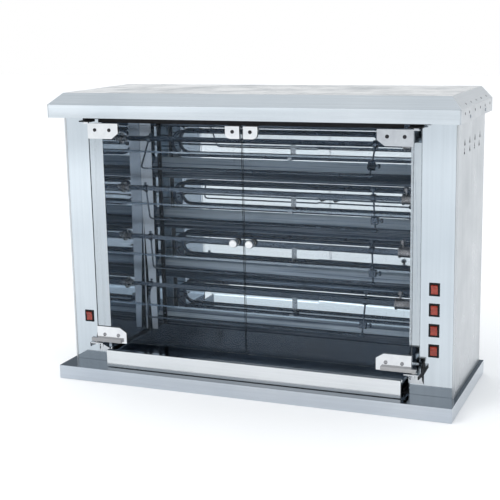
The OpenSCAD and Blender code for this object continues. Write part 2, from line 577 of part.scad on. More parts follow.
// ---------------------------------------------------------------- doors
gx0 = door_gap/2;
gx1 = 421;
up_sx = [359.5, 400.5];    // screws of the upper clamp
lo_sx = [359, 399];        // screws of the lower clamp
module door_glass() color([0.10, 0.14, 0.18, 0.5]) difference() {
  bx([gx0, -door_out - glass_t/2, glass_z0], [gx1, -door_out + glass_t/2, glass_z1]);
  for (x = up_sx) cy(x, -50, -30, 624, 6);
  for (x = lo_sx) cy(x, -50, -30, 88, 6);
  cy(23, -50, -30, 627, 6);
  cy(21, -50, -30, 356, 6);
}
module dome_screw(x, z, y0) {
  g = door_out - glass_t/2;
  cy(x, y0, y0 + 1.2, z, 9);
  translate([x, y0, z]) rotate([90, 0, 0]) cylinder(h = 1.2, d1 = 9, d2 = 5, $fn = 32);
  cy(x, y0 + 1.2, -g + 4.5, z, 4);
  cy(x, -g + 2.2, -g + 5, z, 8, 6);
}
module door_fittings(s) color([0.82, 0.84, 0.86]) {
  y0 = -door_out - glass_t/2 - 2.2; y1 = -door_out + glass_t/2 + 2.2; yb = y1 - 2.2;
  top = glass_z1 + 0.2;
  // upper clamp: plates before and behind the glass, cap over its edge, ear with the pivot pin
  difference() {
    union() {
      translate([0, y0 + 2.1, 0]) rotate([90, 0, 0]) linear_extrude(2.1)
        polygon([[335, top], [335, 616], [354, 602], [421, 602], [421, top]]);
      translate([0, y1, 0]) rotate([90, 0, 0]) linear_extrude(2.1)
        polygon([[335, top], [335, 616], [354, 602], [421, 602], [421, top]]);
      bx([335, y0, top], [434, y1, top + 2.6]);
    }
    for (x = up_sx) cy(x, -60, -30, 624, 4.2);
  }
  cz(pivot_x, -door_out, top + 2.6, 646.6, 8);
  cz(pivot_x, -door_out, top + 2.6, 643.8, 14);
  // lower clamp with its pivot pin
  lo = glass_z0 - 0.2;
  difference() {
    union() {
      for (y = [y0 + 2.1, y1]) translate([0, y, 0]) rotate([90, 0, 0]) linear_extrude(2.1)
        polygon([[335, lo], [335, 97], [354, 109], [421, 109], [421, lo]]);
      bx([335, y0, lo - 3], [434, y1, lo]);
      // stiffening bar along the foot of the front plate
      bx([348, y0 - 9, lo - 0.8], [434, y0 + 1, lo + 8.4]);
    }
    for (x = lo_sx) cy(x, -60, -30, 88, 4.2);
  }
  cz(pivot_x, -door_out, 58.4, lo - 3, 8);
  cz(pivot_x, -door_out, 65.3, lo - 3, 14);
  // catch plate near the middle
  difference() {
    union() {
      for (y = [y0 + 2.1, y1]) translate([0, y, 0]) rotate([90, 0, 0]) linear_extrude(2.1)
        polygon([[5, top], [5, 610], [30, 610], [36, 612], [40, 616], [42, 622], [42, top]]);
      bx([5, y0, top], [42, y1, top + 2]);
    }
    cy(23, -60, -30, 627, 4.2);
  }
  // screws
  for (x = up_sx) dome_screw(x, 624, y0 - 1.2);
  for (x = lo_sx) dome_screw(x, 88, y0 - 1.2);
  dome_screw(23, 627, y0 - 1.2);
}
module door_knob() color([0.86, 0.87, 0.88]) {
  g = -door_out - glass_t/2;
  translate([21, g, 356]) rotate([90, 0, 0]) rotate_extrude($fn = 64)
    polygon([[0, 0], [7, 0], [7, 1.5], [5.5, 3], [5.5, 5], [9.6, 7], [10.5, 9], [10.5, 17], [9.5, 18.9], [7, 19.7], [0, 20]]);
  cy(21, g, g + glass_t + 3.5, 356, 4);
  // washer and black cap nut behind the glass
  cy(21, g + glass_t, g + glass_t + 1, 356, 15);
  translate([21, g + glass_t + 1, 356]) rotate([-90, 0, 0]) rotate_extrude($fn = 64)
    polygon([[0, 0], [9, 0], [9, 10.5], [8, 12.6], [5.5, 13.6], [0, 14]]);
}
module left_door_glass() at() mx(-1) door_glass();
module right_door_glass() at() door_glass();
module left_door_fittings() at() mx(-1) door_fittings(-1);
module right_door_fittings() at() door_fittings(1);
module left_door_knob() at() mx(-1) door_knob();
module right_door_knob() at() door_knob();

base_plinth();
left_side_panel();
right_side_panel();
left_front_pillar();
right_front_pillar();
left_inner_wall();
right_inner_wall();
back_cover();
inner_back_wall();
roof_cap();
roof_soffit();
chamber_ceiling();
door_header_rail();
door_magnets();
door_pivot_brackets();
corner_strips();
reflector_baffles();
heater_tier_1();
heater_tier_2();
heater_tier_3();
heater_tier_4();
heater_terminals();
heater_post();
heater_clips();
spit_bushes();
drive_bearings();
spit_bar_1();
spit_bar_2();
spit_bar_3();
spit_bar_4();
spit_cage_1();
spit_cage_2();
spit_cage_3();
spit_cage_4();
drive_shaft_1();
drive_shaft_2();
drive_shaft_3();
drive_shaft_4();
motor_sprocket();
gear_motor();
drive_chain();
switch_housings();
motor_rocker();
heater_rocker_1();
heater_rocker_2();
heater_rocker_3();
heater_rocker_4();
terminal_block();
cable_gland();
wiring_loom();
panel_screws();
tray_runners();
tray_pan();
tray_front();
left_door_glass();
right_door_glass();
left_door_fittings();
right_door_fittings();
left_door_knob();
right_door_knob();
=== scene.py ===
import bpy
import math
import random
from mathutils import Matrix, Vector, noise


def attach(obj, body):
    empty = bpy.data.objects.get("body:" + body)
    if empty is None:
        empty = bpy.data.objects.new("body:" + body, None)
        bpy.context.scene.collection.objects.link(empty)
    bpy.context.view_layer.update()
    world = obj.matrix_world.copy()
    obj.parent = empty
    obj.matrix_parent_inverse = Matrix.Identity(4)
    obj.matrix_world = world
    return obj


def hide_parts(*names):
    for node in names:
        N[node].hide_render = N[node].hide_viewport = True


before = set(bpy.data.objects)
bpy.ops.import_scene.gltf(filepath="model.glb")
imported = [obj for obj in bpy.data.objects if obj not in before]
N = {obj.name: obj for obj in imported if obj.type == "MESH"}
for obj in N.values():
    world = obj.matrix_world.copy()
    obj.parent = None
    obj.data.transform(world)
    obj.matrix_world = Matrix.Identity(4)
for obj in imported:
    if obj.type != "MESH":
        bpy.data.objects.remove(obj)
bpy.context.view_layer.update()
random.seed(7)

# The CAD works from the pillar plane and the plinth's top: P() turns such millimetres into the row frame.
YF, ZF = -128.0, 36.0


def P(x, y, z):
    return Vector((x / 1000.0, (y + YF) / 1000.0, (z + ZF) / 1000.0))


TIERS = 4
HZ = [557.4, 413.1, 268.8, 124.5]
SZ = [588.0, 456.5, 325.0, 193.5]
PHASE = [36, -12, -6, 20]
YOKE_L = [-324, -339, -330, -335]
YOKE_R = [291, 286, 283, 266]
SOCK = [362, 360, 352, 344]
SPIT_Y, ROD_R = 104.0, 88.0
ROW_Y, LEG = 277.0, 32.5

# ------------------------------------------------------------------ camera
yaw, pitch, roll = math.radians(22.268), math.radians(11.886), math.radians(-1.142)
fwd = Vector((-math.sin(yaw) * math.cos(pitch), math.cos(yaw) * math.cos(pitch), -math.sin(pitch)))
right = Vector((math.cos(yaw), math.sin(yaw), 0))
up = right.cross(fwd)
r2 = right * math.cos(roll) + up * math.sin(roll)
u2 = -right * math.sin(roll) + up * math.cos(roll)
cam_data = bpy.data.cameras.new("camera")
cam_data.lens = 1113.65 / 500 * 36
cam_data.sensor_width = 36
cam_data.clip_start, cam_data.clip_end = 0.05, 100
cam = bpy.data.objects.new("camera", cam_data)
bpy.context.scene.collection.objects.link(cam)
m = Matrix((r2, u2, -fwd)).transposed().to_4x4()
m.translation = Vector((1.02495, -2.63370, 0.93521))
cam.matrix_world = m
bpy.context.scene.camera = cam

# ------------------------------------------------------------------ node helpers


class Mat:
    """A material and short ways to add nodes to it."""

    def __init__(self, name):
        self.m = bpy.data.materials.new(name)
        self.m.use_nodes = True
        self.t = self.m.node_tree
        self.b = self.t.nodes["Principled BSDF"]
        self._obj = None

    def n(self, kind, **kw):
        node = self.t.nodes.new(kind)
        for k, v in kw.items():
            setattr(node, k, v)
        return node

    def link(self, a, b):
        self.t.links.new(a, b)

    def obj(self):
        if self._obj is None:
            self._obj = self.n("ShaderNodeTexCoord")
        return self._obj.outputs["Object"]

    def set(self, **kw):
        for k, v in kw.items():
            self.b.inputs[k.replace("_", " ")].default_value = v
        return self

    def mapped(self, scale):
        mp = self.n("ShaderNodeMapping")
        mp.inputs["Scale"].default_value = scale
        self.link(self.obj(), mp.inputs["Vector"])
        return mp.outputs["Vector"]

    def noise(self, scale, stretch=(1, 1, 1), detail=4, rough=0.55, distort=0.0):
        t = self.n("ShaderNodeTexNoise")
        t.inputs["Scale"].default_value = scale
        t.inputs["Detail"].default_value = detail
        t.inputs["Roughness"].default_value = rough
        t.inputs["Distortion"].default_value = distort
        self.link(self.mapped(stretch), t.inputs["Vector"])
        return t.outputs["Fac"]

    def ramp(self, fac, stops):
        r = self.n("ShaderNodeValToRGB")
        els = r.color_ramp.elements
        while len(els) < len(stops):
            els.new(0.5)
        for e, (p, c) in zip(els, stops):
            e.position = p
            e.color = (*c, 1) if len(c) == 3 else c
        self.link(fac, r.inputs["Fac"])
        return r.outputs["Color"]

    def range(self, fac, a, b, c, d):
        r = self.n("ShaderNodeMapRange")
        r.inputs["From Min"].default_value = a
        r.inputs["From Max"].default_value = b
        r.inputs["To Min"].default_value = c
        r.inputs["To Max"].default_value = d
        self.link(fac, r.inputs["Value"])
        return r.outputs["Result"]

    def math(self, op, a, b):
        r = self.n("ShaderNodeMath", operation=op)
        for i, v in enumerate((a, b)):
            if isinstance(v, (int, float)):
                r.inputs[i].default_value = v
            else:
                self.link(v, r.inputs[i])
        return r.outputs[0]

    def mix(self, fac, a, b):
        r = self.n("ShaderNodeMix", data_type="RGBA")
        for sock, v in ((r.inputs["Factor"], fac), (r.inputs[6], a), (r.inputs[7], b)):
            if isinstance(v, (int, float)):
                sock.default_value = v
            elif isinstance(v, (tuple, list)):
                sock.default_value = (*v, 1) if len(v) == 3 else v
            else:
                self.link(v, sock)
        return r.outputs[2]

    def color(self, out):
        self.link(out, self.b.inputs["Base Color"])
        return self

    def rough(self, out):
        self.link(out, self.b.inputs["Roughness"])
        return self

    def bump(self, heights, strength=1.0):
        """heights: list of (output, depth in metres), stacked."""
        last = None
        for out, depth in heights:
            b = self.n("ShaderNodeBump")
            b.inputs["Strength"].default_value = strength
            b.inputs["Distance"].default_value = depth
            self.link(out, b.inputs["Height"])
            if last is not None:
                self.link(last, b.inputs["Normal"])
            last = b.outputs["Normal"]
        self.link(last, self.b.inputs["Normal"])
        return self


def steel(name, lo, hi, r0, r1, grain=(1, 1, 60), grain_depth=0.000004, wave=0.0006, wave_scale=2.2, tint=None, smudge=0.35, metallic=1.0):
    """Sheet steel: faint brushing along one axis, cloudy roughness and the slight waviness of thin sheet."""
    k = Mat(name)
    k.set(Metallic=metallic)
    fine = k.noise(160, grain, detail=3, rough=0.6)
    cloud = k.noise(3.1, (1, 1, 1), detail=5, rough=0.5)
    big = k.noise(wave_scale, (1, 1, 0.6), detail=1, rough=0.4)
    c = k.ramp(cloud, [(0.30, lo), (0.70, hi)])
    c = k.mix(k.range(fine, 0.35, 0.65, 0.0, 0.22), c, tuple(v * 0.80 for v in lo))
    if tint:
        c = k.mix(k.range(k.noise(6.0, detail=6), 0.45, 0.75, 0.0, tint[1]), c, tint[0])
    k.color(c)
    spots = k.noise(11, (1, 1, 1), detail=7, rough=0.62)
    r = k.range(spots, 0.40, 0.72, r0, r1)
    r = k.math("ADD", r, k.range(fine, 0.3, 0.7, 0.0, (r1 - r0) * smudge))
    k.rough(r)
    k.bump([(big, wave), (fine, grain_depth)])
    return k.m


def metal(name, color, dark, r0, r1, scale=40, depth=0.00002, metallic=1.0, coat=0.0, spec=0.5):
    k = Mat(name)
    k.set(Metallic=metallic, Specular_IOR_Level=spec)
    if coat:
        k.set(Coat_Weight=coat, Coat_Roughness=0.08)
    a = k.noise(scale, detail=6)
    k.color(k.ramp(a, [(0.3, dark), (0.7, color)]))
    k.rough(k.range(k.noise(scale * 2.3, detail=5), 0.35, 0.7, r0, r1))
    k.bump([(a, depth)])
    return k.m


def plastic(name, color, dark, r0, r1, scale=90, depth=0.00001, sub=0.0, coat=0.0):
    k = Mat(name)
    if sub:
        k.set(Subsurface_Weight=sub, Subsurface_Scale=0.002)
    if coat:
        k.set(Coat_Weight=coat, Coat_Roughness=0.05)
    a = k.noise(scale, detail=4)
    k.color(k.ramp(a, [(0.35, dark), (0.65, color)]))
    k.rough(k.range(k.noise(scale * 3, detail=3), 0.35, 0.65, r0, r1))
    k.bump([(a, depth)])
    return k.m


M = {}
M["plinth"] = steel("plinth steel", (0.48, 0.53, 0.59), (0.58, 0.62, 0.67), 0.10, 0.18, grain=(0.02, 1, 1), wave=0.0006)
# painted shade: the plinth's upward faces get a darker copy of the plinth steel
M["plinth_top_shade"] = steel("plinth top shaded steel", (0.24, 0.28, 0.325), (0.31, 0.345, 0.385), 0.08, 0.18, grain=(0.02, 1, 1), wave=0.0006)
M["cab_v"] = steel("cabinet steel", (0.60, 0.64, 0.67), (0.67, 0.70, 0.73), 0.14, 0.24, grain=(1, 1, 0.02), wave=0.0007)
M["cab_side"] = steel("side panel steel", (0.485, 0.51, 0.53), (0.56, 0.58, 0.60), 0.26, 0.38, grain=(1, 1, 0.02), wave=0.0003, metallic=0.85)
# painted light: the roof cap's sloped ends get a brighter, less metallic copy of the cabinet steel so they read as
# bright as the side panels
M["cab_end_lit"] = steel("roof end lit steel", (0.80, 0.82, 0.84), (0.84, 0.86, 0.87), 0.30, 0.42, grain=(1, 0.02, 1), wave=0.0003, metallic=0.45)
# painted shade: the roof cap's front faces get a darker copy of the roof steel
M["fascia"] = steel("fascia shaded steel", (0.53, 0.585, 0.63), (0.64, 0.685, 0.72), 0.12, 0.22, grain=(0.02, 1, 1), wave=0.0009)
M["cab_x"] = steel("roof steel", (0.62, 0.67, 0.71), (0.71, 0.755, 0.79), 0.12, 0.22, grain=(0.02, 1, 1), wave=0.0007)
M["pillar"] = steel("pillar steel", (0.50, 0.555, 0.60), (0.60, 0.65, 0.69), 0.03, 0.09, grain=(1, 1, 0.02), grain_depth=0.000001, wave=0.0005)
M["mirror"] = steel("chamber mirror steel", (0.79, 0.885, 0.95), (0.84, 0.915, 0.97), 0.012, 0.04, grain=(0.02, 1, 1), grain_depth=0.0000004, wave=0.00018, tint=((0.56, 0.56, 0.56), 0.12), metallic=0.94)
# painted shade: the chamber's side walls get a much darker copy of the mirror steel
M["mirror_side_shade"] = steel("side wall shaded steel", (0.31, 0.36, 0.42), (0.37, 0.42, 0.48), 0.012, 0.05, grain=(0.02, 1, 1), grain_depth=0.0000004, wave=0.00018, tint=((0.20, 0.22, 0.25), 0.3), metallic=0.98)
# painted shade: a near-black, almost unreflective finish for the door knobs' back flanges and the lower pivot brackets'
# outer flanges, which read as shade
M["flange"] = metal("painted shade black flange", (0.010, 0.010, 0.011), (0.006, 0.006, 0.007), 0.5, 0.6, 120, 0.00001, metallic=0.0, spec=0.05)
# painted shade: a darker copy of the hardware chrome for the upper clamp in the shade under the roof's overhang
M["clamp_up_shade"] = metal("upper clamp shaded steel", (0.50, 0.525, 0.55), (0.42, 0.44, 0.47), 0.08, 0.18, 60, 0.000006)
M["strip"] = steel("corner strip steel", (0.74, 0.82, 0.90), (0.82, 0.88, 0.94), 0.16, 0.26, grain=(1, 1, 0.02), wave=0.0003, metallic=0.55)
M["inner"] = steel("chamber steel", (0.50, 0.54, 0.59), (0.60, 0.64, 0.68), 0.18, 0.32, grain=(0.02, 1, 1), tint=((0.30, 0.26, 0.22), 0.35))
# painted light: a pale, glowing steel (emission, no lamp) for the tray front's inner face and the pan's front, so they
# show bright in the chamber mirrors
M["tray_lip_glow"] = steel("tray front inner glowing steel", (0.88, 0.90, 0.92), (0.92, 0.93, 0.94), 0.2, 0.3, grain=(0.02, 1, 1), metallic=0.1)
_tray_glow_bsdf = M["tray_lip_glow"].node_tree.nodes["Principled BSDF"]
_tray_glow_bsdf.inputs["Emission Color"].default_value = (0.90, 0.96, 1.0, 1)
_tray_glow_bsdf.inputs["Emission Strength"].default_value = 0.85
# painted shade: a dark base for the pan, which lies in shade under the doors
M["tray"] = steel("tray pan shaded steel", (0.13, 0.165, 0.21), (0.22, 0.255, 0.30), 0.10, 0.22, grain=(0.02, 1, 1), wave=0.0008, tint=((0.10, 0.10, 0.10), 0.3))
M["trayf"] = steel("tray front steel", (0.66, 0.69, 0.71), (0.78, 0.80, 0.82), 0.10, 0.18, grain=(0.02, 1, 1), wave=0.0004)


def reflector(name, metallic, stops):
    """Polished sheet with painted reflections: long bright and dark bands along its length stand in for the tubes and
    rails it reflects.
    """
    k = Mat(name)
    k.set(Metallic=metallic)
    painted_reflection_bands = k.noise(1.0, (0.45, 5, 48), detail=5, rough=0.66)
    fine = k.noise(160, (0.02, 1, 1), detail=3, rough=0.6)
    c = k.ramp(painted_reflection_bands, stops)
    c = k.mix(k.range(k.noise(5.0, detail=6), 0.5, 0.75, 0.0, 0.3), c, (0.14, 0.18, 0.24))
    k.color(c)
    k.rough(k.range(k.noise(11, detail=7, rough=0.62), 0.40, 0.72, 0.05, 0.14))
    k.bump([(k.noise(2.2, (1, 1, 0.6), detail=1, rough=0.4), 0.00025), (fine, 0.0000006)])
    return k.m


# painted reflections: the ramp's bright and dark bands are reflection streaks set into the reflectors' colour
M["baffle"] = reflector("reflector steel with painted reflections", 0.25, [(0.36, (0.06, 0.085, 0.125)), (0.43, (0.31, 0.40, 0.51)), (0.50, (0.72, 0.86, 0.98)), (0.57, (0.57, 0.70, 0.85)), (0.63, (0.13, 0.17, 0.23))])
# painted shade: a darker copy for the reflectors' undersides, with dimmer painted reflection bands
M["baffle_low_shade"] = reflector("reflector underside steel with painted shade", 0.45, [(0.40, (0.05, 0.07, 0.10)), (0.47, (0.09, 0.12, 0.16)), (0.52, (0.42, 0.51, 0.62)), (0.57, (0.10, 0.13, 0.18)), (0.63, (0.04, 0.055, 0.08))])
M["rail"] = steel("guard rail steel", (0.30, 0.375, 0.45), (0.39, 0.47, 0.55), 0.14, 0.26, grain=(0.02, 1, 1), wave=0.0002)
M["chrome"] = metal("hardware chrome", (0.74, 0.755, 0.77), (0.66, 0.68, 0.70), 0.05, 0.14, 60, 0.000006)
M["bar"] = steel("clamp bar steel", (0.30, 0.30, 0.31), (0.46, 0.465, 0.47), 0.10, 0.22, grain=(0.02, 1, 1), wave=0.0002, tint=((0.14, 0.13, 0.13), 0.8))
M["screw_l"] = metal("plated screws", (0.34, 0.345, 0.36), (0.22, 0.225, 0.24), 0.2, 0.34, 90, 0.00001)
M["bracket"] = metal("bracket steel", (0.60, 0.62, 0.64), (0.48, 0.50, 0.53), 0.08, 0.2, 60, 0.000006)
# painted shade: black for the door header rail in the shade under the roof cap, the heater post in the dark back corner
# and the upper pivot brackets
M["black"] = metal("painted shade black steel", (0.016, 0.0165, 0.019), (0.008, 0.008, 0.009), 0.38, 0.52, 120, 0.00001, metallic=0.0, spec=0.10)
M["heater"] = metal("oxidised heater sheath", (0.080, 0.105, 0.145), (0.044, 0.058, 0.080), 0.26, 0.40, 18, 0.00001)
M["skewer"] = metal("skewer steel", (0.105, 0.138, 0.18), (0.070, 0.092, 0.125), 0.20, 0.30, 14, 0.000006)
M["drive"] = metal("oiled drive steel", (0.34, 0.35, 0.37), (0.20, 0.20, 0.21), 0.22, 0.4, 50, 0.00002)
M["chain"] = metal("chain steel", (0.20, 0.20, 0.21), (0.10, 0.10, 0.11), 0.24, 0.42, 80, 0.00002)
M["clip"] = metal("zinc clips", (0.40, 0.45, 0.50), (0.28, 0.325, 0.37), 0.2, 0.35, 70, 0.00001)
M["brass"] = metal("bush steel", (0.30, 0.31, 0.33), (0.18, 0.19, 0.20), 0.2, 0.35, 50, 0.00001)
M["casting"] = metal("motor casting", (0.52, 0.53, 0.55), (0.40, 0.41, 0.43), 0.4, 0.55, 260, 0.0002)
M["ceramic"] = plastic("heater ceramic", (0.86, 0.83, 0.76), (0.76, 0.72, 0.64), 0.45, 0.6, 60, 0.00003)
M["bezel"] = plastic("switch black", (0.012, 0.012, 0.013), (0.006, 0.006, 0.007), 0.16, 0.28, 140, 0.000006)
M["red"] = plastic("rocker red", (0.33, 0.036, 0.016), (0.22, 0.020, 0.010), 0.12, 0.22, 60, 0.000004, sub=0.35, coat=0.2)
M["bezel"].node_tree.nodes["Principled BSDF"].inputs["Specular IOR Level"].default_value = 0.12
M["gland"] = plastic("gland plastic", (0.02, 0.02, 0.022), (0.010, 0.010, 0.011), 0.4, 0.55)
M["wire"] = plastic("wire sleeve", (0.035, 0.035, 0.038), (0.015, 0.015, 0.017), 0.5, 0.68, 200, 0.00004)
M["wire_r"] = plastic("wire red", (0.42, 0.03, 0.02), (0.30, 0.02, 0.015), 0.4, 0.55, 200, 0.00002)
M["wire_b"] = plastic("wire blue", (0.03, 0.10, 0.38), (0.02, 0.06, 0.26), 0.4, 0.55, 200, 0.00002)
M["magnet"] = plastic("magnet housing", (0.03, 0.03, 0.034), (0.015, 0.015, 0.017), 0.35, 0.5)


def glass():
    k = Mat("door glass")
    k.set(Metallic=0.0, IOR=1.5, Alpha=0.10)
    c = k.ramp(k.noise(4, detail=3), [(0.3, (0.020, 0.034, 0.050)), (0.7, (0.030, 0.046, 0.064))])
    k.color(c)
    k.rough(k.range(k.noise(7, detail=8, rough=0.7), 0.55, 0.8, 0.0, 0.03))
    return k.m


M["glass"] = glass()
# the dark tint of glass seen edge-on, deepened with painted shade so the gap between the doors reads dark
M["glass_edge"] = plastic("glass edge", (0.012, 0.019, 0.023), (0.005, 0.008, 0.010), 0.2, 0.3, 60, 0.000004)
# painted shade: near-black clamp screws; the lower front screws keep their plated finish
M["screw"] = metal("painted shade dark screws", (0.05, 0.05, 0.055), (0.02, 0.02, 0.022), 0.3, 0.42, 90, 0.00001)
# painted shade: a dark sheet for faces that lie in shade, the tray runners, the tray's end faces and the inside of the
# roof cap
M["dark"] = metal("painted shade inner sheet", (0.05, 0.05, 0.055), (0.03, 0.03, 0.033), 0.5, 0.6, 60, 0.00001, metallic=0.4)

ASSIGN = {
    "plinth": ["base_plinth"],
    "cab_side": ["left_side_panel", "right_side_panel"],
    "cab_v": ["back_cover"],
    "cab_x": ["roof_cap"],
    "trayf": ["tray_front"],
    "pillar": ["left_front_pillar", "right_front_pillar"],
    "mirror": ["inner_back_wall"],
    # painted shade on the chamber's side walls
    "mirror_side_shade": ["left_inner_wall", "right_inner_wall"],
    "strip": ["corner_strips"],
    "inner": ["chamber_ceiling", "roof_soffit"],
    # painted shade on the tray pan
    "tray": ["tray_pan"],
    # painted shade on the tray runners
    "dark": ["tray_runners"],
    "baffle": ["reflector_baffles"],
    # painted shade: header rail, heater post and pivot brackets in black
    "black": ["door_header_rail", "heater_post", "door_pivot_brackets"],
    "magnet": ["door_magnets"],
    "chrome": ["left_door_fittings", "right_door_fittings", "left_door_knob", "right_door_knob"],
    "heater": ["heater_tier_1", "heater_tier_2", "heater_tier_3", "heater_tier_4"],
    "ceramic": ["heater_terminals", "terminal_block"],
    "clip": ["heater_clips", "panel_screws"],
    "brass": ["spit_bushes", "drive_bearings"],
    "skewer": ["spit_bar_1", "spit_bar_2", "spit_bar_3", "spit_bar_4", "spit_cage_1", "spit_cage_2", "spit_cage_3", "spit_cage_4"],
    "drive": ["drive_shaft_1", "drive_shaft_2", "drive_shaft_3", "drive_shaft_4", "motor_sprocket"],
    "chain": ["drive_chain"],
    "casting": ["gear_motor"],
    "bezel": ["switch_housings"],
    "red": ["motor_rocker", "heater_rocker_1", "heater_rocker_2", "heater_rocker_3", "heater_rocker_4"],
    "gland": ["cable_gland"],
    "wire": ["wiring_loom"],
    "glass": ["left_door_glass", "right_door_glass"],
}
BEVEL = {"roof_cap": 0.0009, "base_plinth": 0.0009, "left_front_pillar": 0.0005, "right_front_pillar": 0.0005, "tray_front": 0.0007,
         "left_door_glass": 0.0006, "right_door_glass": 0.0006, "gear_motor": 0.0008, "left_door_knob": 0.0005, "right_door_knob": 0.0005}


def round_edges(o, width, angle=32, segments=2, shortest=0.0):
    """Small rounded edges with clean flat faces. Edges shorter than shortest stay sharp, such as the rims of small holes."""
    me = o.data
    for name in ("custom_normal", "sharp_face"):
        if name in me.attributes:
            me.attributes.remove(me.attributes[name])
    faces = {}
    co = [tuple(round(c * 1e5) for c in v.co) for v in me.vertices]
    for p in me.polygons:
        p.use_smooth = True
        vs = p.vertices
        for a, b in zip(vs, list(vs[1:]) + [vs[0]]):
            key = (co[a], co[b]) if co[a] < co[b] else (co[b], co[a])
            faces.setdefault(key, []).append(p.normal.copy())
    hards, weights = [], []
    limit = math.radians(angle)
    for e in me.edges:
        a, b = e.vertices
        key = (co[a], co[b]) if co[a] < co[b] else (co[b], co[a])
        ns = faces.get(key, [])
        hard = len(ns) != 2 or ns[0].angle(ns[1], 0.0) > limit
        long = (me.vertices[a].co - me.vertices[b].co).length >= shortest
        hards.append(hard)
        weights.append(1.0 if hard and long else 0.0)
    for name, kind, values in (("sharp_edge", "BOOLEAN", hards), ("bevel_weight_edge", "FLOAT", weights)):
        if name not in me.attributes:
            me.attributes.new(name, kind, "EDGE")
        me.attributes[name].data.foreach_set("value", values)
    w = o.modifiers.new("weld", "WELD")
    w.merge_threshold = 0.000002
    b = o.modifiers.new("edges", "BEVEL")
    b.width = width
    b.segments = segments
    b.limit_method = "WEIGHT"
    b.use_clamp_overlap = True
    b.harden_normals = True


def paint(o, key, test):
    """Gives the polygons that pass test(centre in CAD millimetres, normal) another material."""
    if M[key].name not in [m.name for m in o.data.materials]:
        o.data.materials.append(M[key])
    slot = [m.name for m in o.data.materials].index(M[key].name)
    for p in o.data.polygons:
        c = p.center
        if test(Vector((c.x * 1000, c.y * 1000 - YF, c.z * 1000 - ZF)), p.normal):
            p.material_index = slot


SHORTEST = {"inner_back_wall": 9.0, "left_inner_wall": 9.0, "right_inner_wall": 9.0, "roof_cap": 0.010, "left_side_panel": 0.014, "right_side_panel": 0.014, "back_cover": 0.010}

for key, names in ASSIGN.items():
    for name in names:
        o = N[name]
        o.data.materials.clear()
        o.data.materials.append(M[key])
        round_edges(o, BEVEL.get(name, 0.0004), shortest=SHORTEST.get(name, 0.0))

# pieces with more than one finish, and faces given painted shade, painted light or glow
for side in ("left", "right"):
    # glass edges: their own dark tint plus painted shade for the door gap
    paint(N[side + "_door_glass"], "glass_edge", lambda c, n: abs(n.y) < 0.7)
    sg = -1 if side == "left" else 1
    spots = [(359.5, 624), (400.5, 624), (359, 88), (399, 88), (23, 627)]
    # painted shade on the clamp screws
    paint(N[side + "_door_fittings"], "screw", lambda c, n: (c.y < -44.75 or c.y > -35.25) and any(
        math.hypot(c.x - sg * x, c.z - z) < 4.7 for x, z in spots))
    # painted shade on the upper clamp
    paint(N[side + "_door_fittings"], "clamp_up_shade", lambda c, n: c.z > 595 and c.x > 330 and not any(
        math.hypot(c.x - sg * x, c.z - z) < 4.7 for x, z in spots))
    paint(N[side + "_door_fittings"], "screw_l", lambda c, n: c.y < -44.75 and any(
        math.hypot(c.x - sg * x, c.z - z) < 4.7 for x, z in spots[2:4]))
    paint(N[side + "_door_fittings"], "bar", lambda c, n: c.y < -45.0 and c.z < 81 and 340 < abs(c.x) < 440)
    # painted shade on the knob's back flange
    paint(N[side + "_door_knob"], "flange", lambda c, n: c.y > -36.3)
# painted shade on the plinth's top faces
paint(N["base_plinth"], "plinth_top_shade", lambda c, n: n.z > 0.9)
# painted shade on the roof cap's front faces
paint(N["roof_cap"], "fascia", lambda c, n: n.y < -0.9)
# painted light: glow on the pan's front part and on the tray front's inner face
paint(N["tray_pan"], "tray_lip_glow", lambda c, n: c.y < 0)
paint(N["tray_front"], "tray_lip_glow", lambda c, n: n.y > 0.5)
paint(N["roof_cap"], "cab_side", lambda c, n: abs(n.x) > 0.9 and abs(c.x) > 500)
# painted light on the roof cap's sloped ends
paint(N["roof_cap"], "cab_end_lit", lambda c, n: 0.5 < abs(n.x) < 0.9 and abs(c.x) > 500)
# the lower pivot brackets get plain bracket steel; the upper ones keep the painted-shade black
paint(N["door_pivot_brackets"], "bracket", lambda c, n: c.z < 100)
# painted shade on the lower pivot brackets' outer flanges
paint(N["door_pivot_brackets"], "flange", lambda c, n: c.z < 100 and abs(c.x) > 438.2 and n.x * c.x > -0.5 * abs(c.x))
# painted shade on the tray front's end faces and the pan's outer sides
paint(N["tray_front"], "dark", lambda c, n: abs(n.x) > 0.9)
paint(N["tray_pan"], "dark", lambda c, n: abs(n.x) > 0.9 and abs(c.x) > 389 and c.y < 60)
# painted shade on the reflectors' undersides and lowest faces
paint(N["reflector_baffles"], "baffle_low_shade", lambda c, n: n.z < -0.2 or c.z < 60)
paint(N["reflector_baffles"], "rail", lambda c, n: c.y < 210)
# painted shade on the inner faces of the hollow roof cap
paint(N["roof_cap"], "dark", lambda c, n: abs(c.x) < 528.6 and c.y > -52.6 and c.y < 327.6 and c.z < 713.6 and (
    (n.x * c.x < 0 and abs(n.x) > 0.5) or (n.z < -0.3 and c.z > 656.5) or (n.y > 0.3 and c.y < 100) or (n.y < -0.3 and c.y > 300)))

# ------------------------------------------------------------------ mesh tools
import bmesh


